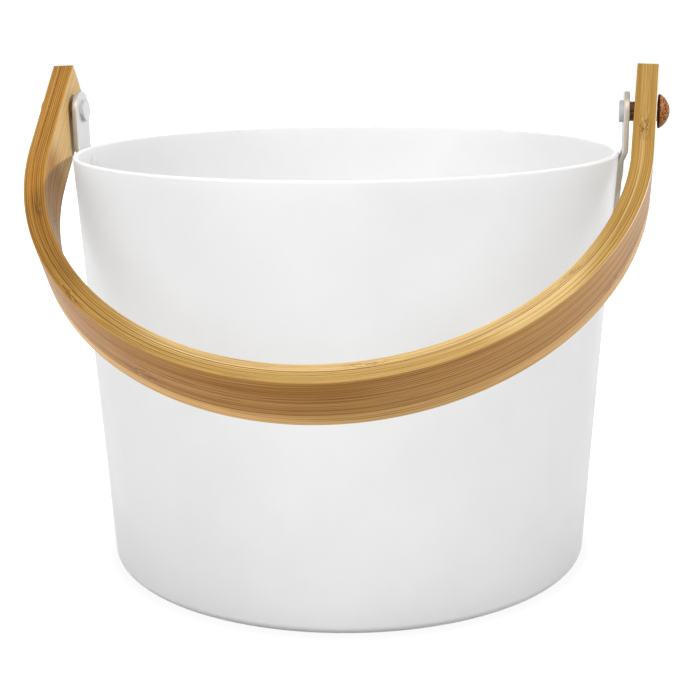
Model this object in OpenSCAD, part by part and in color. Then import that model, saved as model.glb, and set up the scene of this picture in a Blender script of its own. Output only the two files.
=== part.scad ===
// Sauna bucket: a tapered, white-painted metal bucket with riveted ears and a laminated bamboo
// bow handle that swings on wooden pegs. The handle rests on the front of the wall.
// Frame: +Z up, the front is -Y, the pivot axis runs along X, the origin is under the base.

/* [Bucket] */
// Outer diameter at the rim
rim_d = 220; // [190:1:260]
// Outer diameter at the bottom, before the corner is rounded
bottom_d = 200.4; // [160:0.2:230]
// Height from the floor to the rim
bucket_h = 169; // [130:1:220]
// Thickness of the wall
wall_t = 2; // [1.2:0.1:4]
// Thickness of the base
base_t = 2; // [1.2:0.1:5]
// Outer radius of the bottom corner
corner_r = 4; // [2:0.5:8]
// Inner radius of the bottom corner
inner_corner_r = 3; // [1:0.5:8]

/* [Ears] */
// Width of the strap that makes an ear and its leg
ear_w = 15.4; // [12:0.2:24]
// Thickness of the strap
ear_t = 2.1; // [1.6:0.1:4]
// Height of the pivot above the rim
pivot_h = 15.2; // [12:0.2:30]
// Step of an ear's inner face outward from the rim's edge
ear_offset = 1.2; // [0.2:0.1:1.4]

/* [Rivets] */
// Diameter of a rivet's shank
rivet_d = 4; // [3:0.1:5]
// Diameter of a rivet's heads
rivet_head_d = 9; // [6:0.1:11]
// Height of a rivet's inner head
rivet_head_h = 1.2; // [0.8:0.1:2]
// Height of a rivet's low outer head, which the handle swings past
rivet_face_h = 0.5; // [0.3:0.1:1.4]
// Depth of the upper rivet below the rim
rivet_depth = 8; // [8:0.5:16]
// Distance between the two rivets of a leg
rivet_pitch = 17; // [12:0.5:30]
// Clearance round a rivet's shank, on the radius
rivet_clearance = 0.05; // [0.02:0.01:0.1]
// Clearance under a rivet's inner head
head_clearance = 0.03; // [0.02:0.01:0.1]
// Space between the upper rivet's outer head and the straight part of an ear
lap_clearance = 0.5; // [0.3:0.1:1]

/* [Pegs and pins] */
// Diameter of a peg's shank
peg_d = 7.6; // [6:0.1:9]
// Running clearance round a peg's shank, on the radius
peg_clearance = 0.05; // [0.02:0.01:0.1]
// Diameter of a peg's button
button_d = 13.4; // [11:0.1:20]
// Height of a peg's domed button
button_h = 4.5; // [3:0.1:6]
// Play between the handle and the edge of a button
button_gap = 0.4; // [0.3:0.1:1]
// Diameter of a pin's head
pin_head_d = 8.7; // [7:0.1:13]
// Thickness of a pin's head
pin_head_t = 1.8; // [1:0.1:3]
// Width of the chamfer round a pin's head
pin_chamfer = 0.4; // [0.1:0.1:0.8]
// Diameter of a pin's shank
pin_d = 4; // [2.5:0.1:5]
// Depth that a pin reaches into its peg
pin_reach = 9; // [5:0.5:11]
// Clearance round a pin's shank, on the radius
pin_clearance = 0.05; // [0.02:0.01:0.1]

/* [Handle] */
// Width of the bamboo strip
handle_w = 23.4; // [18:0.2:30]
// Thickness of one bamboo ply
ply_t = 1.68; // [1.2:0.02:2.2]
// Gap between an ear and the handle at the pivot
arm_gap = 2; // [1.6:0.1:5]
// Outward flare of the arms
arm_flare = 3.3; // [0.5:0.1:5]
// Distance from the pivot to the centre of the bow
bow_drop = 27.8; // [22:0.2:60]
// Length of the arms past the pivot
arm_end = 15; // [10:0.5:20]
// Gap between the resting handle and the wall
rest_gap = 0.3; // [0.3:0.1:1]

/* [Hidden] */
$fn = 128;

// Plies in the handle, numbered from the inside of the bow
ply_count = 5;
// Overshoot of a cutting tool past the face that it cuts
cut = 1;

// Cone of the outer wall
rim_r = rim_d / 2;
bottom_r = bottom_d / 2;
taper = atan((rim_r - bottom_r) / bucket_h);
function wall_r(z) = bottom_r + z * tan(taper);

// Centre radius of a corner of radius r that rests on height z and touches a wall cone lying
// inset inside the outer one, measured square to the wall
function corner_x(r, z, inset) = wall_r(z) - inset / cos(taper) - r * (1 - sin(taper)) / cos(taper);
// Step of length d square to the wall
function across_wall(d) = [d * cos(taper), -d * sin(taper)];

outer_corner = [corner_x(corner_r, 0, 0), corner_r];
inner_corner = [corner_x(inner_corner_r, base_t, wall_t), base_t + inner_corner_r];
rim_z = bucket_h - wall_t / 2;
rim_centre = [wall_r(rim_z) - wall_t / 2 / cos(taper), rim_z];

// Ears, pegs and pins
pivot_z = bucket_h + pivot_h;
ear_in = rim_r + ear_offset;
ear_out = ear_in + ear_t;
leg_end_z = bucket_h - rivet_depth - rivet_pitch;
rivet_depths = [rivet_depth, rivet_depth + rivet_pitch];
// An ear overlaps its leg from the rim down to just above the upper rivet's head
ear_lap = rivet_depth - rivet_head_d / 2 - lap_clearance;
// A flat head inside a round wall seats on its edge
head_seat = pow(rivet_head_d / 2, 2) / (2 * (wall_r(leg_end_z) - wall_t)) + head_clearance;

// Handle
handle_t = ply_count * ply_t;
arm_in = ear_out + arm_gap;
// Inset of an arm's faces from the tangents of the bow, so that the outlines cross cleanly
arm_inset = 0.01;
bow_r = (arm_in - bow_drop * tan(arm_flare)) * cos(arm_flare) + arm_inset;
arm_to_pivot = (bow_drop + bow_r * sin(arm_flare)) / cos(arm_flare);
arm_l = arm_to_pivot + arm_end;
// The flared outer face of an arm passes nearest to the button at the button's edge
button_back = arm_in + handle_t / cos(arm_flare) + button_d / 2 * tan(arm_flare) + button_gap;

// Angle of the resting handle from straight down, where the lower inner edge of the bow comes
// within the rest gap of the wall
reach = bow_drop + bow_r;
rest_sin = reach + tan(taper) * handle_w / 2;
rest_cos = tan(taper) * reach - handle_w / 2;
rest_span = wall_r(pivot_z) + rest_gap / cos(taper);
rest_angle = asin(rest_span / norm([rest_sin, rest_cos])) - atan2(rest_cos, rest_sin);

paint = [0.94, 0.94, 0.93];
bamboo_light = [0.85, 0.69, 0.42];
bamboo_dark = [0.72, 0.53, 0.29];
turned_wood = [0.48, 0.26, 0.13];

// Spherical cap of base diameter d and height h, standing on z = 0
module dome(d, h) {
    r = (pow(d / 2, 2) + h * h) / (2 * h);
    intersection() {
        translate([0, 0, h - r])
            sphere(r = r);
        cylinder(r = r + cut, h = h + cut);
    }
}

// Turns a shape that stands along +Z to point along +X at the pivot, from the given x
module at_pivot(x) {
    translate([x, 0, pivot_z])
        rotate([0, 90, 0])
            children();
}

// Sets a shape on the wall at a depth under the rim, with +Z square out of the wall
module on_wall(depth) {
    z = bucket_h - depth;
    translate([wall_r(z), 0, z])
        rotate([0, 90 + taper, 0])
            children();
}

// Draws the left or the right one of a pair that is modelled on the right
module on_side(name) {
    mirror([name == "left" ? 1 : 0, 0, 0])
        children();
}

// Bores for the two rivets of one leg, through the wall and the leg
module rivet_bores() {
    for (depth = rivet_depths)
        on_wall(depth)
            translate([0, 0, -wall_t - cut])
                cylinder(r = rivet_d / 2 + rivet_clearance, h = wall_t + ear_t + 2 * cut);
}

module shell_outline() {
    polygon([
        [0, 0],
        [outer_corner.x, 0],
        outer_corner + across_wall(corner_r),
        rim_centre + across_wall(wall_t / 2),
        rim_centre - across_wall(wall_t / 2),
        [0, rim_centre.y]
    ]);
    translate(outer_corner)
        circle(r = corner_r);
}

module cavity_outline() {
    top_z = bucket_h + cut;
    polygon([
        [0, base_t],
        [inner_corner.x, base_t],
        inner_corner + across_wall(inner_corner_r),
        [wall_r(top_z) - wall_t / cos(taper), top_z],
        [0, top_z]
    ]);
    translate(inner_corner)
        circle(r = inner_corner_r);
}

module bucket_shell() {
    color(paint)
        difference() {
            rotate_extrude()
                union() {
                    difference() {
                        shell_outline();
                        cavity_outline();
                    }
                    translate(rim_centre)
                        circle(r = wall_t / 2);
                }
            rivet_bores();
            on_side("left")
                rivet_bores();
        }
}

// Strap outline between two heights, extruded along X from x by the given length
module strap_prism(x, length, low_z, high_z) {
    translate([x, 0, 0])
        rotate([90, 0, 90])
            linear_extrude(height = length)
                translate([-ear_w / 2, low_z])
                    square([ear_w, high_z - low_z]);
}

// Round end of the strap about a height
module strap_end(x, length, z) {
    translate([x, 0, z])
        rotate([0, 90, 0])
            cylinder(d = ear_w, h = length);
}

// Leg that is rolled to lie on the wall's cone
module ear_leg() {
    low_z = leg_end_z - ear_w / 2;
    strap_x = wall_r(low_z) - ear_w;
    strap_l = ear_w + ear_out - wall_r(low_z) + cut;
    intersection() {
        difference() {
            translate([0, 0, low_z])
                cylinder(
                    r1 = wall_r(low_z) + ear_t / cos(taper),
                    r2 = rim_r + ear_t / cos(taper),
                    h = bucket_h - low_z
                );
            translate([0, 0, low_z - cut])
                cylinder(r1 = wall_r(low_z - cut), r2 = wall_r(bucket_h + cut), h = bucket_h - low_z + 2 * cut);
        }
        union() {
            strap_prism(strap_x, strap_l, leg_end_z, bucket_h + cut);
            strap_end(strap_x, strap_l, leg_end_z);
        }
    }
}

module ear(side) {
    color(paint)
        on_side(side)
            difference() {
                union() {
                    ear_leg();
                    strap_prism(ear_in, ear_t, bucket_h - ear_lap, pivot_z);
                    strap_end(ear_in, ear_t, pivot_z);
                }
                rivet_bores();
                at_pivot(ear_in - cut)
                    cylinder(r = pin_d / 2 + pin_clearance, h = ear_t + 2 * cut);
            }
}

module rivets(side) {
    color(paint)
        on_side(side)
            for (depth = rivet_depths)
                on_wall(depth) {
                    translate([0, 0, -wall_t - head_seat])
                        cylinder(d = rivet_d, h = wall_t + head_seat + ear_t);
                    translate([0, 0, ear_t])
                        dome(rivet_head_d, rivet_face_h);
                    translate([0, 0, -wall_t - head_seat])
                        mirror([0, 0, 1])
                            dome(rivet_head_d, rivet_head_h);
                }
}

// Point on an arm's face that goes on from bow radius r, at a distance along the arm
function arm_point(r, along) = [
    (r - arm_inset) * cos(arm_flare) + along * sin(arm_flare),
    along * cos(arm_flare) - (r - arm_inset) * sin(arm_flare)
];
function mirrored(p) = [-p.x, p.y];

// Area inside a face of bow radius r, whose arms end square to it as far in as radius end_r
module bow_area(r, end_r, length) {
    intersection() {
        circle(r = r);
        translate([-r - cut, -r - cut])
            square([2 * (r + cut), r + cut]);
    }
    polygon([
        arm_point(r, 0),
        arm_point(r, length),
        arm_point(end_r, length),
        mirrored(arm_point(end_r, length)),
        mirrored(arm_point(r, length)),
        mirrored(arm_point(r, 0))
    ]);
}

// Ply of the bow: two flared arms and the round bow between them
module handle_ply(number) {
    inner_r = bow_r + (number - 1) * ply_t;
    color(number % 2 == 1 ? bamboo_light : bamboo_dark)
        difference() {
            translate([0, 0, pivot_z])
                rotate([90 - rest_angle, 0, 0])
                    translate([0, -bow_drop, -handle_w / 2])
                        linear_extrude(height = handle_w)
                            difference() {
                                bow_area(inner_r + ply_t, inner_r - cut, arm_l);
                                bow_area(inner_r, inner_r - cut, arm_l + cut);
                            }
            for (side = ["left", "right"])
                on_side(side)
                    at_pivot(ear_out)
                        cylinder(r = peg_d / 2 + peg_clearance, h = button_back - ear_out);
        }
}

module peg(side) {
    shank_l = button_back - ear_out;
    color(turned_wood)
        on_side(side)
            difference() {
                union() {
                    at_pivot(ear_out)
                        cylinder(d = peg_d, h = shank_l);
                    at_pivot(button_back)
                        dome(button_d, button_h);
                }
                at_pivot(ear_out - cut)
                    cylinder(r = pin_d / 2 + pin_clearance, h = pin_reach + cut);
            }
}

module pin(side) {
    color(paint)
        on_side(side) {
            at_pivot(ear_in - pin_head_t)
                cylinder(d1 = pin_head_d - 2 * pin_chamfer, d2 = pin_head_d, h = pin_chamfer);
            at_pivot(ear_in - pin_head_t + pin_chamfer)
                cylinder(d = pin_head_d, h = pin_head_t - pin_chamfer);
            at_pivot(ear_in)
                cylinder(d = pin_d, h = ear_t + pin_reach);
        }
}

bucket_shell();
ear("left");  // ear_left
ear("right");  // ear_right
rivets("left");  // rivets_left
rivets("right");  // rivets_right
handle_ply(1);  // handle_ply_1
handle_ply(2);  // handle_ply_2
handle_ply(3);  // handle_ply_3
handle_ply(4);  // handle_ply_4
handle_ply(5);  // handle_ply_5
peg("left");  // peg_left
peg("right");  // peg_right
pin("left");  // pin_left
pin("right");  // pin_right
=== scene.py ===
"""Looks of the sauna bucket: painted metal, riveted ears, turned pegs and a bamboo bow."""

import math

import bmesh
import bpy
from mathutils import Matrix, Vector


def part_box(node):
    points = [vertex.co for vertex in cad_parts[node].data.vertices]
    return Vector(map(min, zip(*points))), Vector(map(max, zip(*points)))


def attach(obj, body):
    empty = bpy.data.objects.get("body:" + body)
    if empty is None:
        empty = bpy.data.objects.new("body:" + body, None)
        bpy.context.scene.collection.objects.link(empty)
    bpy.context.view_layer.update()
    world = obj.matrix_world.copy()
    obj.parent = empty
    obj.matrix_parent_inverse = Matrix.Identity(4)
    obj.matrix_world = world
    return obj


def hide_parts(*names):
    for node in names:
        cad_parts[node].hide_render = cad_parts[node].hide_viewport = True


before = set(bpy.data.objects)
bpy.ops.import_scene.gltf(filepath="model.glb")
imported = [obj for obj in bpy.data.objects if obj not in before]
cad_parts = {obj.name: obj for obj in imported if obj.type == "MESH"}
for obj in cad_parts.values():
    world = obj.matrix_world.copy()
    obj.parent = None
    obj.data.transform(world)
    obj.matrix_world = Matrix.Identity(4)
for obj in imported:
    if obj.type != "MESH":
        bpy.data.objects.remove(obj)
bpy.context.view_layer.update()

# Sizes in millimetres, as in the part's source. The scene itself is in metres.
MM = 0.001
_, shell_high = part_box("bucket_shell")
RIM_R = shell_high.x / MM
BUCKET_H = shell_high.z / MM
BOTTOM_R = 100.2
WALL_T = 2.0
BASE_T = 2.0
CORNER_R = 4.0
INNER_CORNER_R = 3.0
TAPER = math.atan((RIM_R - BOTTOM_R) / BUCKET_H)

EAR_W = 15.4
EAR_T = 2.1
EAR_EDGE = 0.35
EAR_OFFSET = 1.2
EAR_IN = RIM_R + EAR_OFFSET
EAR_OUT = EAR_IN + EAR_T
PIVOT_H = 15.2
PIVOT_Z = BUCKET_H + PIVOT_H
# Heights between which the strap bends from the wall's slope to the upright ear
BEND_LOW = BUCKET_H - 4.5
BEND_HIGH = BUCKET_H + 0.5

RIVET_DEPTHS = (8.0, 25.0)
RIVET_R = 2.0
RIVET_HEAD_R = 4.5
RIVET_HEAD_H = 1.2
RIVET_FACE_H = 0.5
# Distance of a rivet's flat inner head from the curved wall
RIVET_SEAT = 0.13
LEG_END_Z = BUCKET_H - RIVET_DEPTHS[1]

PEG_R = 3.8
PEG_BORE_R = 3.85
BUTTON_R = 6.7
BUTTON_H = 4.5
BUTTON_LIP = 0.5
BUTTON_GAP = 0.4
PIN_R = 2.0
PIN_BORE_R = 2.05
PIN_REACH = 9.0
PIN_HEAD_R = 4.35
PIN_HEAD_T = 1.8
PIN_ROUND = 0.45

PLY_COUNT = 5
PLY_T = 1.68
HANDLE_T = PLY_COUNT * PLY_T
HANDLE_W = 23.4
HALF_W = HANDLE_W / 2
ARM_GAP = 2.0
ARM_IN = EAR_OUT + ARM_GAP
ARM_END = 15.0
FLARE = math.radians(3.3)
BOW_DROP = 27.8
BOW_R = (ARM_IN - BOW_DROP * math.tan(FLARE)) * math.cos(FLARE)
ARM_L = (BOW_DROP + BOW_R * math.sin(FLARE)) / math.cos(FLARE) + ARM_END
BUTTON_BACK = ARM_IN + HANDLE_T / math.cos(FLARE) + BUTTON_R * math.tan(FLARE) + BUTTON_GAP
# Swing of the resting handle from hanging straight down
REST_ANGLE = math.radians(52.9325)
# Rounding of the strip's four long edges, and of the edges along a glue line: radius and steps
EASED = (0.25, 5)
GLUE_EDGE = (0.05, 1)
# Length along the strip runs at mid-thickness from the middle of the bow
MID_R = BOW_R + HANDLE_T / 2
BOW_S = MID_R * (math.pi / 2 - FLARE)

# Fineness of the meshes: sides of turned pieces, cuts in a strap, and steps along the strip
SHELL_SIDES = 256
PEG_SIDES = 64
BORE_SIDES = 48
RIVET_SIDES = 48
CUTS_ACROSS = 8
CUTS_ALONG = 40
FACE_STEPS = 6
ARM_STEPS = 16
BOW_STEPS = 70
# Angle in degrees above which an edge is sharp, and length in millimetres that counts as none
SHARP_DEG = 35
TINY = 1e-5

# Camera that was fitted to the photo's rim, walls, base and handle
CAMERA_AT = (0.08807, -0.56705, 0.22496)
CAMERA_YAW = math.radians(8.8132)
CAMERA_PITCH = math.radians(-13.7168)
CAMERA_ROLL = math.radians(-0.5524)
FOCAL_PX = 1394.64
IMAGE_PX = 696
SENSOR_MM = 36.0


# Meshes


def wall_r(z):
    """Outer radius of the wall at a height."""
    return BOTTOM_R + z * math.tan(TAPER)


def smooth(value, start, end):
    """Smooth step from 0 to 1 between two limits."""
    t = min(1, max(0, (value - start) / (end - start)))
    return t * t * (3 - 2 * t)


def arc(cx, cy, r, start, end, steps):
    """Points on an arc, with angles in radians."""
    angles = [start + (end - start) * i / steps for i in range(steps + 1)]
    return [(cx + r * math.cos(a), cy + r * math.sin(a)) for a in angles]


def along(a, b, steps):
    """Points between two points, without the ends."""
    return [
        (a[0] + (b[0] - a[0]) * i / steps, a[1] + (b[1] - a[1]) * i / steps)
        for i in range(1, steps)
    ]


def lathe(profile, sides, place):
    """Closed surface of revolution. The profile runs from axis to axis as (radius, height)."""
    verts, rings = [], []
    for r, h in profile:
        if r < TINY:
            rings.append([len(verts)])
            verts.append(place(0, 0, h))
        else:
            rings.append(list(range(len(verts), len(verts) + sides)))
            for i in range(sides):
                a = 2 * math.pi * i / sides
                verts.append(place(r * math.cos(a), r * math.sin(a), h))
    faces = []
    for low, high in zip(rings, rings[1:]):
        for i in range(sides):
            j = (i + 1) % sides
            if len(low) == 1:
                faces.append((low[0], high[j], high[i]))
            elif len(high) == 1:
                faces.append((low[i], low[j], high[0]))
            else:
                faces.append((low[i], low[j], high[j], high[i]))
    return verts, faces


def merged(*parts):
    """One geometry from several."""
    verts, faces = [], []
    for v, f in parts:
        faces += [tuple(i + len(verts) for i in face) for face in f]
        verts += v
    return verts, faces


def finish_mesh(mesh, sharp_deg=SHARP_DEG):
    """Faces outward, smooth shading, and sharp edges above an angle."""
    bm = bmesh.new()
    bm.from_mesh(mesh)
    bmesh.ops.recalc_face_normals(bm, faces=bm.faces)
    bm.to_mesh(mesh)
    bm.free()
    mesh.shade_smooth()
    mesh.set_sharp_from_angle(angle=math.radians(sharp_deg))


def new_object(name, geometry, sharp_deg=SHARP_DEG):
    """Object in the scene with a geometry that is in millimetres."""
    verts, faces = geometry
    mesh = bpy.data.meshes.new(name)
    mesh.from_pydata([Vector(v) * MM for v in verts], [], faces)
    finish_mesh(mesh, sharp_deg)
    obj = bpy.data.objects.new(name, mesh)
    bpy.context.scene.collection.objects.link(obj)
    return obj


def piece(name, geometry, material, body, slot, *nodes, sharp_deg=SHARP_DEG):
    """Visual piece that rides on a body and takes the place of CAD nodes."""
    obj = new_object(name, geometry, sharp_deg)
    obj.data.materials.append(material)
    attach(obj, body)
    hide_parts(*nodes)
    return obj


def bucket_geometry():
    """Shell with a rounded bottom corner inside and outside, and a round rim."""

    def corner_x(r, z, inset):
        return wall_r(z) - inset / math.cos(TAPER) - r * (1 - math.sin(TAPER)) / math.cos(TAPER)

    inner = (corner_x(INNER_CORNER_R, BASE_T, WALL_T), BASE_T + INNER_CORNER_R)
    outer = (corner_x(CORNER_R, 0, 0), CORNER_R)
    rim_z = BUCKET_H - WALL_T / 2
    rim = (wall_r(rim_z) - WALL_T / 2 / math.cos(TAPER), rim_z)
    inner_arc = arc(*inner, INNER_CORNER_R, -math.pi / 2, -TAPER, steps=8)
    rim_arc = arc(*rim, WALL_T / 2, math.pi - TAPER, -TAPER, steps=12)
    outer_arc = arc(*outer, CORNER_R, -TAPER, -math.pi / 2, steps=10)
    profile = [(0, BASE_T)]
    profile += along((0, BASE_T), inner_arc[0], steps=8) + inner_arc
    profile += along(inner_arc[-1], rim_arc[0], steps=24) + rim_arc
    profile += along(rim_arc[-1], outer_arc[0], steps=24) + outer_arc
    profile += along(outer_arc[-1], (0, 0), steps=8) + [(0, 0)]
    return lathe(profile, SHELL_SIDES, lambda x, y, z: (x, y, z))


def cut(bm, at, normal):
    """Adds a row of edges where a plane crosses the mesh."""
    everything = bm.verts[:] + bm.edges[:] + bm.faces[:]
    bmesh.ops.bisect_plane(bm, geom=everything, plane_co=at, plane_no=normal, dist=TINY)


def ear_geometry(sign):
    """Strap with round ends and eased edges, laid on the wall below the rim and upright above it.

    The second result is each point's depth through the sheet."""
    half = EAR_W / 2
    outline = arc(0, PIVOT_Z, half, 0, math.pi, steps=28)
    outline += arc(0, LEG_END_Z, half, math.pi, 2 * math.pi, steps=28)
    bm = bmesh.new()
    face = bm.faces.new([bm.verts.new((w, z, 0)) for w, z in outline])
    raised = bmesh.ops.extrude_face_region(bm, geom=[face])["geom"]
    tops = [v for v in raised if isinstance(v, bmesh.types.BMVert)]
    bmesh.ops.translate(bm, verts=tops, vec=(0, 0, EAR_T))
    flat = [e for e in bm.edges if abs(e.verts[0].co.z - e.verts[1].co.z) < TINY]
    bmesh.ops.bevel(
        bm, geom=flat, offset=EAR_EDGE, segments=4, profile=0.5, affect="EDGES", clamp_overlap=True
    )
    for i in range(1, CUTS_ACROSS):
        cut(bm, (half * (2 * i / CUTS_ACROSS - 1), 0, 0), (1, 0, 0))
    low, high = LEG_END_Z - half, PIVOT_Z + half
    for i in range(1, CUTS_ALONG):
        cut(bm, (0, low + (high - low) * i / CUTS_ALONG, 0), (0, 1, 0))
    verts, through = [], []
    for v in bm.verts:
        w, z, n = v.co
        through.append(n)
        r = wall_r(z) + n / math.cos(TAPER)
        leg = Vector((r * math.cos(w / r), r * math.sin(w / r), z))
        ear = Vector((EAR_IN + n, w, z))
        p = leg.lerp(ear, smooth(z, BEND_LOW, BEND_HIGH))
        verts.append((sign * p.x, p.y, p.z))
    bm.verts.index_update()
    faces = [tuple(v.index for v in f.verts) for f in bm.faces]
    bm.free()
    return (verts, faces), through


def dome(r, h, base, steps):
    """Profile of a spherical cap from its top to its edge."""
    sphere = (r * r + h * h) / (2 * h)
    half = math.asin(r / sphere)
    return [
        (sphere * math.sin(half * i / steps), base + h - sphere * (1 - math.cos(half * i / steps)))
        for i in range(steps + 1)
    ]


def rivet_geometry(sign, depth):
    """Rivet square to the wall, with a low outer head on the strap and an inner head."""
    back = -WALL_T - RIVET_SEAT
    outer = dome(RIVET_HEAD_R, RIVET_FACE_H, EAR_T, steps=8)
    inner = [(r, 2 * back - h) for r, h in dome(RIVET_HEAD_R, RIVET_HEAD_H, back, steps=8)]
    profile = outer + [(RIVET_R, EAR_T), (RIVET_R, back)] + inner[::-1]
    z = BUCKET_H - depth

    def place(x, y, n):
        return (
            sign * (wall_r(z) + n * math.cos(TAPER) + x * math.sin(TAPER)),
            y,
            z - n * math.sin(TAPER) + x * math.cos(TAPER),
        )

    return lathe(profile, RIVET_SIDES, place)


def on_pivot(sign):
    """Places a turned piece on the pivot axis, with its height outward to one side."""
    return lambda x, y, h: (sign * h, x, PIVOT_Z + y)


def pin_geometry(sign):
    """Pin with a flat round head inside the ear and a shank that reaches into the peg."""
    face, end = EAR_IN - PIN_HEAD_T, EAR_OUT + PIN_REACH
    profile = [(0, face)]
    profile += arc(
        PIN_HEAD_R - PIN_ROUND, face + PIN_ROUND, PIN_ROUND, -math.pi / 2, 0, steps=5
    )
    profile += [(PIN_HEAD_R, EAR_IN), (PIN_R, EAR_IN), (PIN_R, end), (0, end)]
    return lathe(profile, PEG_SIDES, on_pivot(sign))


def peg_geometry(sign):
    """Peg with the pin's bore, a plain shank and a domed button."""
    bore = EAR_OUT + PIN_REACH
    cap = dome(BUTTON_R, BUTTON_H - BUTTON_LIP, BUTTON_BACK + BUTTON_LIP, steps=16)
    profile = [(0, bore), (PIN_BORE_R, bore), (PIN_BORE_R, EAR_OUT), (PEG_R, EAR_OUT)]
    profile += along((PEG_R, EAR_OUT), (PEG_R, BUTTON_BACK), steps=4) + [(PEG_R, BUTTON_BACK)]
    profile += [(BUTTON_R - BUTTON_LIP / 2, BUTTON_BACK)]
    profile += [(BUTTON_R, BUTTON_BACK + BUTTON_LIP / 2)] + cap[::-1]
    return lathe(profile, PEG_SIDES, on_pivot(sign))


def bow_point(s, n):
    """Point in the bow's plane, at a length along the strip and a depth from its inner face."""
    side = 1 if s >= 0 else -1
    r = BOW_R + n
    if abs(s) <= BOW_S:
        a = abs(s) / MID_R - math.pi / 2
        return side * r * math.cos(a), r * math.sin(a)
    far = abs(s) - BOW_S
    return (
        side * (r * math.cos(FLARE) + far * math.sin(FLARE)),
        far * math.cos(FLARE) - r * math.sin(FLARE),
    )


def strip_place(x, y):
    """Length and depth of a point in the plane of the bow: the reverse of bow_point."""
    side = 1 if x >= 0 else -1
    a = math.atan2(y, abs(x))
    if a <= -FLARE:
        return side * MID_R * (a + math.pi / 2), math.hypot(x, y) - BOW_R
    far = abs(x) * math.sin(FLARE) + y * math.cos(FLARE)
    return side * (BOW_S + far), abs(x) * math.cos(FLARE) - y * math.sin(FLARE) - BOW_R


# Turns the plane of the bow, with Y up the arms and Z across the strip, into the resting handle
TILT = Matrix.Rotation(math.pi / 2 - REST_ANGLE, 4, "X")
BOW_TO_FRAME = (
    Matrix.Translation((0, 0, PIVOT_Z)) @ TILT @ Matrix.Translation((0, -BOW_DROP, 0))
)
FRAME_TO_BOW = BOW_TO_FRAME.inverted()


def ply_geometry(number):
    """One ply: its section, with eased corners, swept along both arms and the bow."""
    low, high = (number - 1) * PLY_T, number * PLY_T
    e_low, steps_low = EASED if number == 1 else GLUE_EDGE
    e_high, steps_high = EASED if number == PLY_COUNT else GLUE_EDGE
    turn = math.pi / 2
    section = arc(high - e_high, HALF_W - e_high, e_high, 0, turn, steps_high)
    section += arc(low + e_low, HALF_W - e_low, e_low, turn, 2 * turn, steps_low)
    section += along((low, HALF_W - e_low), (low, e_low - HALF_W), FACE_STEPS)
    section += arc(low + e_low, e_low - HALF_W, e_low, 2 * turn, 3 * turn, steps_low)
    section += arc(high - e_high, e_high - HALF_W, e_high, 3 * turn, 4 * turn, steps_high)
    section += along((high, e_high - HALF_W), (high, HALF_W - e_high), FACE_STEPS)
    arm = [BOW_S + ARM_L * i / ARM_STEPS for i in range(1, ARM_STEPS + 1)]
    bow = [BOW_S * i / BOW_STEPS for i in range(-BOW_STEPS, BOW_STEPS + 1)]
    stations = [-s for s in arm[::-1]] + bow + arm
    verts = []
    for s in stations:
        for n, v in section:
            x, y = bow_point(s, n)
            verts.append(tuple(BOW_TO_FRAME @ Vector((x, y, v))))
    k = len(section)
    faces = [
        (a * k + i, a * k + (i + 1) % k, (a + 1) * k + (i + 1) % k, (a + 1) * k + i)
        for a in range(len(stations) - 1)
        for i in range(k)
    ]
    last = (len(stations) - 1) * k
    faces += [tuple(range(k))[::-1], tuple(range(last, last + k))]
    return verts, faces


def bore_arms(obj):
    """Cuts the peg bores through both arms."""
    profile = [(0, EAR_OUT), (PEG_BORE_R, EAR_OUT), (PEG_BORE_R, BUTTON_BACK), (0, BUTTON_BACK)]
    bores = [lathe(profile, BORE_SIDES, on_pivot(sign)) for sign in (-1, 1)]
    tool = new_object("bores", merged(*bores))
    modifier = obj.modifiers.new("bores", "BOOLEAN")
    modifier.operation = "DIFFERENCE"
    modifier.solver = "EXACT"
    modifier.object = tool
    evaluated = obj.evaluated_get(bpy.context.evaluated_depsgraph_get())
    bored = bpy.data.meshes.new_from_object(evaluated)
    obj.modifiers.clear()
    old, tool_mesh = obj.data, tool.data
    name = old.name
    obj.data = bored
    bpy.data.meshes.remove(old)
    bored.name = name
    bpy.data.objects.remove(tool)
    bpy.data.meshes.remove(tool_mesh)
    finish_mesh(bored)


def mark_strip(obj):
    """Stores each point's place in the strip, in millimetres: length, depth and width."""
    places = obj.data.attributes.new("strip", "FLOAT_VECTOR", "POINT")
    for i, v in enumerate(obj.data.vertices):
        p = FRAME_TO_BOW @ (v.co / MM)
        s, n = strip_place(p.x, p.y)
        places.data[i].vector = (s, n, p.z)


# Materials


def linear(*rgb):
    """Colour from 0 to 255 as it looks on a screen, as linear RGBA."""
    out = [c / 255 for c in rgb]
    return (*[c / 12.92 if c <= 0.04045 else ((c + 0.055) / 1.055) ** 2.4 for c in out], 1.0)


def grey(level):
    """Linear RGBA of a grey."""
    return (level, level, level, 1)


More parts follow.
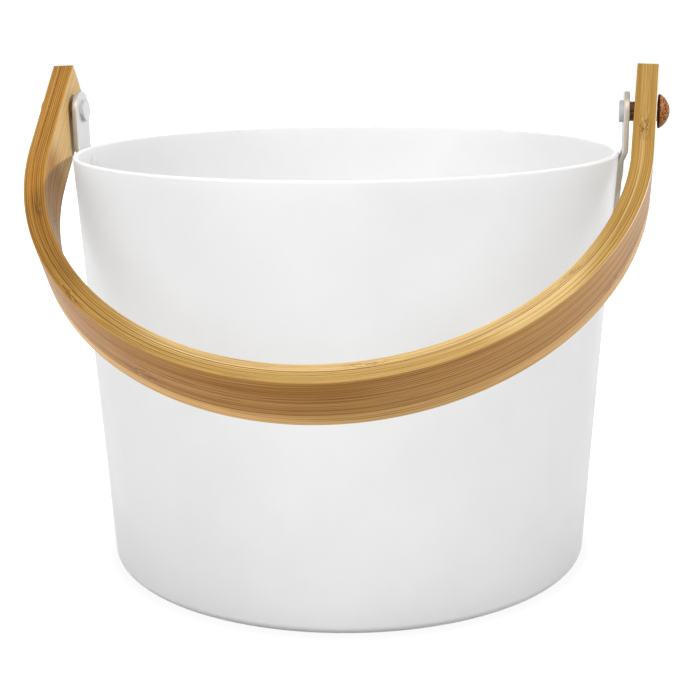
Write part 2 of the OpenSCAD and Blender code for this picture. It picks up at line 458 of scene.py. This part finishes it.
class Shade:
    """Small helper that builds the nodes of a material or a world."""

    def __init__(self, owner, shader="Principled BSDF"):
        owner.use_nodes = True
        self.material = owner
        self.tree = owner.node_tree
        self.surface = self.tree.nodes[shader]

    def feed(self, socket, value):
        if isinstance(value, bpy.types.NodeSocket):
            self.tree.links.new(value, socket)
        else:
            socket.default_value = value

    def add(self, kind, inputs, **settings):
        node = self.tree.nodes.new("ShaderNode" + kind)
        for key, value in settings.items():
            setattr(node, key, value)
        for key, value in inputs.items():
            self.feed(node.inputs[key], value)
        return node

    def set(self, **inputs):
        for key, value in inputs.items():
            self.feed(self.surface.inputs[key.replace("_", " ")], value)

    def math(self, operation, a, b=0.0, c=0.0):
        return self.add("Math", {0: a, 1: b, 2: c}, operation=operation).outputs[0]

    def plus(self, a, b):
        return self.math("ADD", a, b)

    def minus(self, a, b):
        return self.math("SUBTRACT", a, b)

    def times(self, first, *factors):
        for factor in factors:
            first = self.math("MULTIPLY", first, factor)
        return first

    def most(self, a, b):
        return self.math("MAXIMUM", a, b)

    def absolute(self, value):
        return self.math("ABSOLUTE", value)

    def vector(self, x, y, z):
        return self.add("CombineXYZ", {0: x, 1: y, 2: z}).outputs[0]

    def split(self, vector):
        return self.add("SeparateXYZ", {0: vector}).outputs

    def scaled(self, vector, factors, offset=(0, 0, 0)):
        node = self.add("VectorMath", {0: vector, 1: factors, 2: offset}, operation="MULTIPLY_ADD")
        return node.outputs[0]

    def distance(self, vector):
        return self.add("VectorMath", {0: vector}, operation="LENGTH").outputs["Value"]

    def from_line(self, vector, y, z):
        """Distance from a line along X."""
        return self.distance(self.scaled(vector, (0, 1, 1), (0, -y, -z)))

    def noise(self, vector, scale=1.0, detail=2.0, rough=0.5):
        node = self.add(
            "TexNoise", {"Vector": vector, "Scale": scale, "Detail": detail, "Roughness": rough}
        )
        return node.outputs["Fac"]

    def grain(self, vector, rates, offset=(0, 0, 0), **settings):
        """Noise with a rate of its own along each axis."""
        return self.noise(self.scaled(vector, rates, offset), **settings)

    def drift(self, length, rate, row, layer=0.5, **settings):
        """Noise that changes only along the strip, different in each row."""
        return self.noise(self.vector(self.times(length, rate), row, layer), **settings)

    def rise(self, value, start, end, low=0.0, high=1.0):
        """Smooth step of a value between two limits."""
        node = self.add(
            "MapRange",
            {"Value": value, "From Min": start, "From Max": end, "To Min": low, "To Max": high},
            interpolation_type="SMOOTHSTEP",
        )
        return node.outputs[0]

    def mix(self, share, a, b):
        node = self.add("Mix", {0: share, 6: a, 7: b}, data_type="RGBA")
        return node.outputs[2]

    def tint(self, color, tone, value, limits, share=1.0):
        """Colour that takes on a share of a tone as a value goes from one limit to the other."""
        return self.mix(self.rise(value, *limits, high=share), color, tone)

    def bump(self, height, strength, distance):
        node = self.add("Bump", {"Height": height, "Strength": strength, "Distance": distance})
        self.feed(self.surface.inputs["Normal"], node.outputs[0])

    def seen(self):
        """1 for what the camera sees directly or in a gloss, and 0 for soft light."""
        path = self.add("LightPath", {}).outputs
        return self.most(path["Is Camera Ray"], path["Is Glossy Ray"])

    def object_mm(self):
        coordinates = self.add("TexCoord", {}).outputs["Object"]
        return self.scaled(coordinates, (1 / MM, 1 / MM, 1 / MM))


# The darkest and the lightest white of the paint. The straps and pins are a little greyer.
PAINT_TONES = (0.8, 0.835)
STRAP_GREY = 0.78
# Look of a cut edge: its darkest and lightest colour, and how metallic it is
# A strap's cut edge is partly metallic; its dark warm tan is painted shade and a painted reflection
# of the bamboo
STRAP_METAL_AND_SHADE = ((0.46, 0.4, 0.32, 1), (0.57, 0.5, 0.41, 1), 0.4)
# The side of a pin's head is painted shade in plain grey, not metallic
PIN_SIDE_SHADE = ((0.38, 0.38, 0.37, 1), (0.46, 0.46, 0.45, 1), 0.0)
# Rates of the brushed grain on the edges
BRUSHED = (9.0, 1.2, 0.25)
# Where the edge look starts: depth from either face of a strap, and distance from the axis of a
# pin, where its painted shade starts
STRAP_BARE = (0.12, 0.3)
PIN_SHADE_RADII = (PIN_HEAD_R - PIN_ROUND / 2, PIN_HEAD_R - 0.05)


def white_paint(name, level=1.0, bare_and_shade=None, metal=None):
    """Satin powder coat: fine orange peel, a faintly cloudy white and a slightly uneven sheen.

    Where the edge mask is 1, a strap's cut edge shows brushed, partly metallic sheet in painted
    shade with a painted reflection of the bamboo, and a pin's side shows painted shade in plain
    grey."""
    m = Shade(bpy.data.materials.new(name))
    p = m.object_mm()
    cloud = m.noise(p, scale=0.02, detail=3.0, rough=0.55)
    sheen = m.noise(p, scale=0.06, detail=4.0, rough=0.6)
    peel = m.noise(p, scale=0.9)
    fine = m.noise(p, scale=3.2, detail=1.0)
    color = m.mix(m.rise(cloud, 0.3, 0.7), *[grey(tone * level) for tone in PAINT_TONES])
    if bare_and_shade:
        mask = bare_and_shade(m, p)
        darkest, lightest, metallic = metal
        color = m.mix(mask, color, m.mix(m.grain(p, BRUSHED), darkest, lightest))
        m.set(Metallic=m.times(mask, metallic))
    m.set(
        Base_Color=color,
        Roughness=m.rise(sheen, 0.3, 0.7, low=0.36, high=0.46),
        Specular_IOR_Level=0.45,
    )
    m.bump(m.plus(m.times(fine, 0.35), peel), strength=0.12, distance=0.0001)
    return m.material


def strap_edge(m, _):
    """Mask of the strap's cut edge, from the depth through the sheet."""
    depth = m.add("Attribute", {}, attribute_name="through").outputs["Fac"]
    start, end = STRAP_BARE
    return m.times(m.rise(depth, start, end), m.rise(depth, EAR_T - start, EAR_T - end))


def pin_side_shade(m, p):
    """Mask of the side of a pin's head, which gets painted shade."""
    return m.rise(m.from_line(p, 0, PIVOT_Z), *PIN_SHADE_RADII, high=0.75)


# Marks in the bamboo: length, depth and width of the middle, then the reach in each direction
MARKS = (
    (-94, 7.0, 11.7, 12, 2.4, 6),
    (-144, 3.4, 11.7, 11, 2.0, 5),
    (27, 2.0, 11.7, 12, 1.7, 5),
    (110, 1.8, 11.7, 14, 1.3, 5),
    (190, 4.4, 11.7, 11, 3.4, 6),
    (-57, 8.4, -3.3, 14, 1.2, 5),
    (125, 8.4, -5.3, 7, 1.2, 3),
    (136, 8.4, -8.4, 9, 1.2, 3),
    (-20, 0.0, 2.0, 12, 1.2, 7),
    (88, 0.0, -4.0, 12, 1.2, 7),
    (-150, 0.0, -3.0, 12, 1.2, 7),
    (40, 5.5, -11.7, 12, 2.6, 5),
)
# Dark lines on the strip's edges where plies are glued, and at depth 8.3 a painted shade along the
# crease by the outer face: depth, half width, strength left and right
LINES = (
    (1.68, 0.12, 0.35, 0.1),
    (3.3, 0.17, 0.7, 0.8),
    (5.04, 0.12, 0.3, 0.15),
    (6.72, 0.12, 0.3, 0.15),
    # Painted shade along the crease between edge and outer face, strongest toward the right
    (8.3, 0.16, 0.0, 0.5),
)
# How far a line wanders in depth, and how far outside a ply it can still show in it
LINE_WANDER = 0.3
LINE_REACH = 0.4
# How far each ply's edge leans from pale to tan in the middle of the bow
PLY_TONES = (0.0, 0.2, 0.6, 0.85, 1.0)
# Layers of dark strands: how many in a millimetre, half the width of one, and its strength
FACE_STRANDS = ((0.5, 0.2, 0.95), (1.25, 0.15, 0.8))
EDGE_STRANDS = ((0.9, 0.19, 1.0), (1.9, 0.13, 0.75))
# Share of the strands that shows on the inner face
INNER_STRANDS = 0.12
# How far the strands wander together, in spaces between them, and the fibres at a knot
STRAND_WARP = 2.0
KNOT_SWAY = 3.0
# Steps that keep the noise of plies, lines, strand layers and single strands apart
PLY_STEPS = (17.3, 5.1, 9.7)
LINE_STEP = 3.0
PATCH_LAYER = 7.0
EDGE_SEED = 9
SEED_STEP = 37.5
ROW_STEP = 50.0

# Rates of the bamboo's grain in a millimetre, along the strip, through it and across it
WAVE_GRAIN = (0.22, 0.4, 0.4)
BROAD_GRAIN = (0.004, 0.22, 0.16)
BAND_GRAIN = (0.005, 1.0, 0.55)
FIBRE_GRAIN = (0.01, 2.4, 1.9)
FLECK_GRAIN = (0.05, 2.6, 2.2)
STREAK_GRAIN = (0.13, 2.4, 1.8)
# Rates of what drifts along the strip
WARP_RATE = 0.006
WANDER_RATE = 0.012
RUN_RATE = 0.028
PATCH_RATE = 0.04

# Colours of the bamboo
PALE = linear(218, 186, 126)
TAN = linear(176, 139, 72)
HONEY = linear(177, 123, 42)
OLIVE = linear(166, 126, 54)
INNER = linear(211, 175, 115)
WARM = linear(166, 115, 50)
AMBER = linear(184, 134, 70)
SAND = linear(208, 158, 94)
UMBER = linear(140, 100, 58)
# Painted light from the floor on the lower side of the outer face
PAINTED_BOUNCE_LIGHT = linear(230, 184, 116)
STRAW = linear(190, 138, 74)
BROWN = linear(134, 86, 32)
DARK = linear(86, 46, 14)
# Colour of the dark lines where plies are glued, and of the painted shade at the crease
GLUE_AND_SHADE = linear(84, 46, 14)
# Painted highlight on the corner between edge and outer face
PAINTED_HIGHLIGHT = linear(250, 240, 220)

# Lengths along the strip between which a look changes, from the middle of the bow
HONEY_RUN = (-60.0, -140.0)
OLIVE_RUN = (100.0, 150.0)
SAND_RUN = (10.0, 40.0)
UMBER_RUN = (120.0, 170.0)
HIGHLIGHT_RUN = (100.0, 160.0)
STRAND_RUN = (30.0, -100.0)
LINE_TURN = (-130.0, 20.0)
LINE_FADE = (190.0, 150.0)
# Lengths where the inner face gets painted shade, where the bow turns into the left arm
SHADED_BEND_RUNS = ((-188.0, -172.0), (-110.0, -140.0))
# Stretches of the strip: the middle, then the distances from it where a look starts and is full
TONED_STRETCH = (35.0, 130.0, 60.0)
PALE_STRETCH = (90.0, 32.0, 8.0)
# Widths on the outer face between which its lower side turns pale, painted light from the floor
# below, and loses its strands
PAINTED_BOUNCE_SIDE = (-3.5, -10.5)
STRAND_SIDE = (-9.5, -6.0)
# Widths between which a face turns into an edge, and the corner with a painted highlight
EDGE_TURN = (HALF_W - 0.3, HALF_W - 0.1)
HIGHLIGHT_WIDTH = (HALF_W - 0.4, HALF_W - 0.15)
HIGHLIGHT_DEPTH = (HANDLE_T - 0.4, HANDLE_T - 0.15)


def strands(m, across, length, layers, seed):
    """Mask of dark strands: lines at random places across the strip, which come and go along it."""
    warp = m.times(m.drift(length, WARP_RATE, seed, detail=1.0), STRAND_WARP)
    mask = 0.0
    for density, half, strength in layers:
        phase = m.math("MULTIPLY_ADD", across, density, warp)
        cell = m.plus(m.math("FLOOR", phase), SEED_STEP * seed)
        chance = m.add("TexWhiteNoise", {"W": cell}, noise_dimensions="1D").outputs["Color"]
        shift, force, row = m.split(chance)
        off = m.minus(m.math("FRACT", phase), m.rise(shift, 0.0, 1.0, low=0.25, high=0.75))
        line = m.rise(m.absolute(off), half * density, 0.4 * half * density)
        force = m.rise(force, 0.2, 0.9, low=0.2 * strength, high=strength)
        run = m.rise(m.drift(length, RUN_RATE, m.times(row, ROW_STEP)), 0.35, 0.6, low=0.35)
        mask = m.most(mask, m.times(line, force, run))
    return mask


def knots(m, place, low, high):
    """Mask of the marks that reach into a ply between two depths."""
    mask = 0.0
    for s, n, v, long, deep, wide in MARKS:
        if low - deep < n < high + deep:
            rates, offset = (1 / long, 1 / deep, 1 / wide), (-s / long, -n / deep, -v / wide)
            far = m.distance(m.scaled(place, rates, offset))
            mask = m.most(mask, m.rise(far, 1.0, 0.1))
    return mask


def glue_and_shade_lines(m, length, depth, number):
    """Mask of the dark lines in a ply, which wander in depth and are stronger in places."""
    low, high = (number - 1) * PLY_T - LINE_REACH, number * PLY_T + LINE_REACH
    slow = m.drift(length, WANDER_RATE, LINE_STEP * number)
    wander = m.plus(depth, m.times(m.minus(slow, 0.5), LINE_WANDER))
    patchy = m.rise(m.drift(length, PATCH_RATE, 0.5, PATCH_LAYER), 0.3, 0.6, low=0.7)
    fade = m.rise(length, *LINE_FADE, low=0.25)
    across = m.rise(length, *LINE_TURN)
    mask = 0.0
    for n, half, left, right in LINES:
        if low < n < high:
            line = m.rise(m.absolute(m.minus(wander, n)), half, half * 0.5)
            force = m.rise(across, 0.0, 1.0, low=left, high=right)
            mask = m.most(mask, m.times(line, force, fade, patchy))
    return mask


def stretch(m, length, limits, high=1.0):
    """Smooth step towards the middle of a stretch of the strip."""
    middle, start, full = limits
    return m.rise(m.absolute(m.minus(length, middle)), start, full, high=high)


def edge_color(m, length, broad, tone):
    """Ground colour of a ply's edge: its own tone in the middle, honey and olive on the arms."""
    lean = m.rise(stretch(m, length, TONED_STRETCH), 0.0, 1.0, low=1.0, high=tone)
    lean = m.math("MULTIPLY_ADD", m.minus(broad, 0.5), 0.6, lean)
    lean = m.minus(lean, stretch(m, length, PALE_STRETCH, high=0.6))
    color = m.mix(m.rise(lean, 0.0, 1.0), PALE, TAN)
    color = m.tint(color, HONEY, length, HONEY_RUN, share=0.9)
    return m.tint(color, OLIVE, length, OLIVE_RUN, share=0.6)


def inner_color(m, length):
    """Ground colour of the inner face, with painted shade: darker where the bow turns into the left
    arm, where the rim's shadow falls.
    """
    from_arm, from_bow = SHADED_BEND_RUNS
    painted_shade = m.times(m.rise(length, *from_arm), m.rise(length, *from_bow))
    return m.mix(painted_shade, INNER, WARM)


def outer_color(m, length, width, broad):
    """Ground colour of the outer face, pale along its lower side: painted light from the floor
    below.
    """
    color = m.mix(m.rise(broad, 0.35, 0.65), WARM, AMBER)
    color = m.tint(color, SAND, length, SAND_RUN, share=0.6)
    color = m.tint(color, UMBER, length, UMBER_RUN, share=0.6)
    return m.tint(color, PAINTED_BOUNCE_LIGHT, width, PAINTED_BOUNCE_SIDE)


def bamboo(number):
    """Bamboo ply: fine fibres, dark strands along it, knots, and crisp lines on the edges."""
    m = Shade(bpy.data.materials.new(f"bamboo_ply_{number}"))
    inmost, outmost = number == 1, number == PLY_COUNT
    seed = tuple(step * number for step in PLY_STEPS)
    place = m.add("Attribute", {}, attribute_name="strip").outputs["Vector"]
    length, depth, width = m.split(place)
    edge = m.rise(m.absolute(width), *EDGE_TURN)
    face = m.minus(1.0, edge)

    # The fibres sway where there is a knot
    knot = knots(m, place, (number - 1) * PLY_T, number * PLY_T)
    sway = m.times(knot, m.minus(m.grain(place, WAVE_GRAIN, seed), 0.5), KNOT_SWAY)
    push = m.vector(0.0, sway, sway)
    fibre_place = m.add("VectorMath", {0: place, 1: push}, operation="ADD").outputs[0]
    fibre_depth, fibre_width = m.split(fibre_place)[1:3]
    broad = m.grain(fibre_place, BROAD_GRAIN, seed)
    bands = m.grain(fibre_place, BAND_GRAIN, seed, rough=0.6)
    fibres = m.grain(fibre_place, FIBRE_GRAIN, seed, rough=0.6)
    flecks = m.grain(fibre_place, FLECK_GRAIN, seed[::-1], detail=1.0)
    streaks = m.grain(fibre_place, STREAK_GRAIN, seed)

    color = edge_color(m, length, broad, PLY_TONES[number - 1])
    if inmost:
        color = m.mix(edge, inner_color(m, length), color)
    if outmost:
        color = m.mix(edge, outer_color(m, length, width, broad), color)

    # Fibres are fainter on the inner face, and less pale on the outer one
    straw = m.mix(m.times(face, 0.8), PALE, STRAW) if outmost else PALE
    plain = m.rise(edge, 0.0, 1.0, low=0.45) if inmost else 1.0
    color = m.tint(color, BROWN, bands, (0.5, 0.7), share=0.4)
    color = m.tint(color, straw, bands, (0.48, 0.3), share=0.35)
    color = m.mix(m.times(m.rise(fibres, 0.5, 0.68, high=0.6), plain), color, BROWN)
    color = m.mix(m.times(m.rise(fibres, 0.46, 0.3, high=0.45), plain), color, straw)

    on_face = m.times(strands(m, fibre_width, length, FACE_STRANDS, number), face)
    if inmost:
        on_face = m.times(on_face, INNER_STRANDS)
    if outmost:
        on_face = m.times(on_face, m.rise(width, *STRAND_SIDE, low=0.3))
    on_edge = m.times(strands(m, fibre_depth, length, EDGE_STRANDS, EDGE_SEED), edge)
    on_edge = m.times(on_edge, m.rise(length, *STRAND_RUN, low=0.35))
    strand = m.most(on_face, on_edge)
    color = m.mix(strand, color, DARK)
    color = m.tint(color, DARK, flecks, (0.64, 0.74), share=0.4)
    color = m.mix(m.times(m.rise(streaks, 0.48, 0.64), knot, 0.8), color, DARK)

    # Dark lines where plies are glued, and painted shade along the crease by the outer face
    joints_and_shade = m.times(glue_and_shade_lines(m, length, depth, number), edge)
    color = m.mix(joints_and_shade, color, GLUE_AND_SHADE)
    if outmost:
        # Painted highlight: the corner between edge and outer face is almost white along the right
        # arm
        corner = m.times(m.rise(depth, *HIGHLIGHT_DEPTH), m.rise(width, *HIGHLIGHT_WIDTH))
        color = m.mix(m.times(corner, m.rise(length, *HIGHLIGHT_RUN, high=0.6)), color, PAINTED_HIGHLIGHT)

    m.set(
        Base_Color=color,
        Roughness=m.rise(fibres, 0.3, 0.7, low=0.36, high=0.5),
        Specular_IOR_Level=0.15,
        Coat_Weight=0.04,
        Coat_Roughness=0.3,
    )
    height = m.minus(m.minus(fibres, m.times(strand, 0.5)), m.times(joints_and_shade, 0.8))
    m.bump(height, strength=0.3, distance=0.00012)
    return m.material


# Peg wood: Y and Z of the pith, its rings and how far they wander, rates of the grain, and colours
PITH = (-9.0, PIVOT_Z - 5.0)
RING_RATE = 5.2
RING_WANDER = 2.0
RING_GRAIN = (0.02, 0.25, 0.25)
PORE_GRAIN = (0.3, 1.5, 1.5)
END_GRAIN = (0.15, 2.2, 2.2)
SHANK_GRAIN = (0.1, 2.6, 2.6)
RING_COLORS = (linear(160, 97, 38), linear(178, 113, 50))
END_STREAK = linear(118, 64, 24)
PORE = linear(50, 22, 6)
# Painted shade on the back rim of the button
BUTTON_RIM_SHADE = linear(44, 18, 6)
SHANK_COLORS = (linear(164, 108, 50), linear(88, 52, 20))


def peg_wood():
    """Turned hardwood with end grain on the button: faint rings and dark pores, and painted shade
    on the button's back rim.
    """
    m = Shade(bpy.data.materials.new("peg_wood"))
    p = m.object_mm()
    out = m.absolute(m.split(p)[0])
    wander = m.times(m.grain(p, RING_GRAIN), RING_WANDER)
    rings = m.math("SINE", m.times(m.plus(m.from_line(p, *PITH), wander), RING_RATE))
    cells = {"Vector": m.scaled(p, PORE_GRAIN), "Scale": 1.0, "Randomness": 1.0}
    pores = m.add("TexVoronoi", cells, feature="F1").outputs["Distance"]
    spots = m.rise(pores, 0.56, 0.4)
    streaks = m.grain(p, END_GRAIN, detail=3.0, rough=0.6)
    shaded_rim = (BUTTON_BACK + BUTTON_LIP, BUTTON_BACK + BUTTON_LIP / 2)
    cap = m.mix(m.rise(rings, -1.0, 1.0), *RING_COLORS)
    cap = m.tint(cap, END_STREAK, streaks, (0.45, 0.7), share=0.5)
    cap = m.mix(m.times(spots, 0.9), cap, PORE)
    # Painted shade darkens the button's back rim
    cap = m.tint(cap, BUTTON_RIM_SHADE, out, shaded_rim, share=0.8)
    shank = m.mix(m.rise(m.grain(p, SHANK_GRAIN), 0.4, 0.62), *SHANK_COLORS)
    m.set(
        Base_Color=m.tint(shank, cap, out, (BUTTON_BACK - 0.3, BUTTON_BACK)),
        Roughness=m.rise(streaks, 0.3, 0.7, low=0.4, high=0.55),
        Specular_IOR_Level=0.2,
    )
    m.bump(m.minus(streaks, spots), strength=0.3, distance=0.00012)
    return m.material


# Distances from the bucket's axis over which the floor turns from a dark painted shadow to pale for
# soft light, and from a faint painted shade at the bucket's foot to white for the camera
FLOOR_FADE = (108.0, 165.0)
FLOOR_PAINTED_SHADOW = 0.04
FLOOR_FAR = (0.34, 0.36)
FOOT_FADE = (100.0, 108.0)
FOOT_LEVEL = 0.92


def floor_white():
    """Floor that looks white and sends back less soft light than it shows."""
    m = Shade(bpy.data.materials.new("floor_white"))
    p = m.object_mm()
    distance = m.distance(p)
    pale = m.mix(m.noise(p, scale=0.05, detail=3.0), *[grey(level) for level in FLOOR_FAR])
    m.set(
        # Painted shadow: the floor is dark close to the bucket
        Base_Color=m.tint(grey(FLOOR_PAINTED_SHADOW), pale, distance, FLOOR_FADE),
        Roughness=0.9,
        Specular_IOR_Level=0.1,
        Emission_Color=grey(1),
        Emission_Strength=m.times(m.seen(), m.rise(distance, *FOOT_FADE, low=FOOT_LEVEL)),
    )
    return m.material


# The object

paint, wood = white_paint("white_paint"), peg_wood()
strap_paint = white_paint("strap_paint", STRAP_GREY, strap_edge, STRAP_METAL_AND_SHADE)
pin_paint = white_paint("pin_paint", STRAP_GREY, pin_side_shade, PIN_SIDE_SHADE)
shell = piece(
    "bucket_wall", bucket_geometry(), paint, "bucket", "white_paint", "bucket_shell", sharp_deg=60
)
fittings, plies = [], []
for side, sign in (("left", -1), ("right", 1)):
    geometry, through = ear_geometry(sign)
    strap = piece(f"strap_{side}", geometry, strap_paint, "bucket", "white_paint", f"ear_{side}")
    strap.data.attributes.new("through", "FLOAT", "POINT").data.foreach_set("value", through)
    geometry = merged(*[rivet_geometry(sign, depth) for depth in RIVET_DEPTHS])
    piece(f"rivet_pair_{side}", geometry, paint, "bucket", "white_paint", f"rivets_{side}")
    geometry = pin_geometry(sign)
    pin = piece(f"pin_head_{side}", geometry, pin_paint, "bucket", "white_paint", f"pin_{side}")
    geometry = peg_geometry(sign)
    peg = piece(f"button_peg_{side}", geometry, wood, "bucket", "peg_wood", f"peg_{side}")
    fittings += [strap, pin, peg]
for number in range(1, PLY_COUNT + 1):
    name, node = f"bamboo_ply_{number}", f"handle_ply_{number}"
    ply = piece(name, ply_geometry(number), bamboo(number), "handle", "bamboo", node)
    bore_arms(ply)
    mark_strip(ply)
    ply.visible_diffuse = False
    plies.append(ply)

# Studio, in metres

scene = bpy.context.scene
FLOOR_HALF = 3.0
floor_mesh = bpy.data.meshes.new("floor")
corners = [(-1, -1), (1, -1), (1, 1), (-1, 1)]
floor_mesh.from_pydata(
    [(x * FLOOR_HALF, y * FLOOR_HALF, 0) for x, y in corners], [], [(0, 1, 2, 3)]
)
floor_mesh.materials.append(floor_white())
floor = bpy.data.objects.new("floor", floor_mesh)
scene.collection.objects.link(floor)

# The surroundings are bright behind the bucket and dark in front of it for soft light, and plain
# white to the camera and in a gloss
WORLD_FRONT = 0.0
WORLD_BACK = 0.65
WORLD_TURN = (-0.1, 0.3)
scene.world = bpy.data.worlds.new("studio")
sky = Shade(scene.world, "Background")
sky_y = sky.split(sky.add("TexCoord", {}).outputs["Generated"])[1]
glow = sky.rise(sky_y, *WORLD_TURN, low=WORLD_FRONT, high=WORLD_BACK)
sky.set(Color=grey(1), Strength=sky.most(glow, sky.seen()))

# Point that the softboxes face
AIM = Vector((0, 0, 0.1))


def lamp_object(name, kind, energy, facing):
    """Light in the scene that shines in a direction."""
    lamp = bpy.data.objects.new(name, bpy.data.lights.new(name, kind))
    lamp.data.energy = energy
    lamp.rotation_euler = facing.to_track_quat("-Z", "Y").to_euler()
    scene.collection.objects.link(lamp)
    return lamp


def softbox(name, direction, distance, width, height, watts):
    """Area light at a distance from the aim, in a direction seen from there."""
    outward = Vector(direction).normalized() * distance
    lamp = lamp_object(name, "AREA", watts, -outward)
    lamp.data.shape = "RECTANGLE"
    lamp.data.size, lamp.data.size_y = width, height
    lamp.location = AIM + outward
    return lamp


def sun(name, direction, degrees, strength):
    """Sun that shines in a direction, with a spread in degrees."""
    lamp = lamp_object(name, "SUN", strength, Vector(direction))
    lamp.data.angle = math.radians(degrees)
    return lamp


def chosen(name, objects, state):
    """Collection of objects that a light is told to include or to leave out."""
    group = bpy.data.collections.new(name)
    for obj in objects:
        group.objects.link(obj)
    for entry in group.collection_objects:
        entry.light_linking.link_state = state
    return group


# In the photo the handle throws hardly any shadow on the wall, so the wall and the floor have soft
# lights of their own, which pass the handle. A softbox has a direction, distance, width, height
# and watts, and a sun has a direction, spread and strength.
wall_lights = (
    softbox("wall_left", (-0.9, -0.55, 0.45), 1.5, 0.9, 0.9, 6.9),
    softbox("wall_front", (0.1, -0.96, 0.3), 1.3, 2.2, 0.9, 1.8),
    softbox("wall_right", (0.8, -0.6, 0.35), 1.5, 0.9, 0.9, 5.4),
    softbox("wall_low_front", (-0.35, -0.94, -0.02), 1.3, 2.0, 0.2, 3.9),
    softbox("wall_low_right", (0.9, -0.45, 0.02), 1.5, 0.9, 0.2, 3.4),
    softbox("wall_back", (0.1, 0.96, 0.3), 1.3, 2.2, 0.9, 7.0),
    sun("wall_ceiling", (0, 1, -1), 60, 1.45),
)
# The small light on the right throws crisp shadows of the rim and the ear on the left arm
handle_lights = (
    softbox("handle_left", (-0.9, -0.55, 0.45), 1.5, 0.9, 0.9, 7.0),
    softbox("handle_front", (-0.35, -0.9, 0.3), 1.3, 1.0, 0.9, 4.2),
    softbox("handle_low", (-0.35, -0.85, -0.45), 1.3, 1.0, 0.6, 5.6),
    softbox("handle_right", (0.818, -0.252, 0.517), 1.6, 0.2, 0.2, 18.0),
    sun("handle_ceiling", (0, 1, -1), 30, 1.3),
)
# The inside of the bucket is as bright as the wall in the photo: a lamp low in it and a sun above
inside_lights = (
    softbox("inside_low", (-0.4, 0, -1), 0.07, 0.12, 0.12, 0.065),
    sun("inside_top", (0, 0, -1), 20, 0.8),
)
for lamp in inside_lights:
    lamp.visible_camera = False

# Each group of lights falls on some objects, and passes some that would shade it
handle_out = chosen("handle_out", plies, "EXCLUDE")
floor_out = chosen("floor_out", [floor], "EXCLUDE")
wall_and_floor = chosen("wall_and_floor", plies + fittings, "EXCLUDE")
handle_and_fittings = chosen("handle_and_fittings", plies + fittings, "INCLUDE")
bucket_only = chosen("bucket_only", [shell], "INCLUDE")
for lamps, receivers, blockers in (
    (wall_lights, wall_and_floor, handle_out),
    (handle_lights, handle_and_fittings, floor_out),
    (inside_lights, bucket_only, handle_out),
):
    for lamp in lamps:
        lamp.light_linking.receiver_collection = receivers
        lamp.light_linking.blocker_collection = blockers

scene.view_settings.view_transform = "Standard"

forward = Vector(
    (
        -math.sin(CAMERA_YAW) * math.cos(CAMERA_PITCH),
        math.cos(CAMERA_YAW) * math.cos(CAMERA_PITCH),
        math.sin(CAMERA_PITCH),
    )
)
level_right = Vector((math.cos(CAMERA_YAW), math.sin(CAMERA_YAW), 0))
level_up = level_right.cross(forward)
sideways = level_right * math.cos(CAMERA_ROLL) + level_up * math.sin(CAMERA_ROLL)
up = level_up * math.cos(CAMERA_ROLL) - level_right * math.sin(CAMERA_ROLL)
lens = bpy.data.cameras.new("camera")
lens.sensor_width = SENSOR_MM
lens.lens = FOCAL_PX * SENSOR_MM / IMAGE_PX
camera = bpy.data.objects.new("camera", lens)
scene.collection.objects.link(camera)
turn = Matrix((sideways, up, -forward)).transposed()
camera.matrix_world = Matrix.Translation(CAMERA_AT) @ turn.to_4x4()
scene.camera = camera
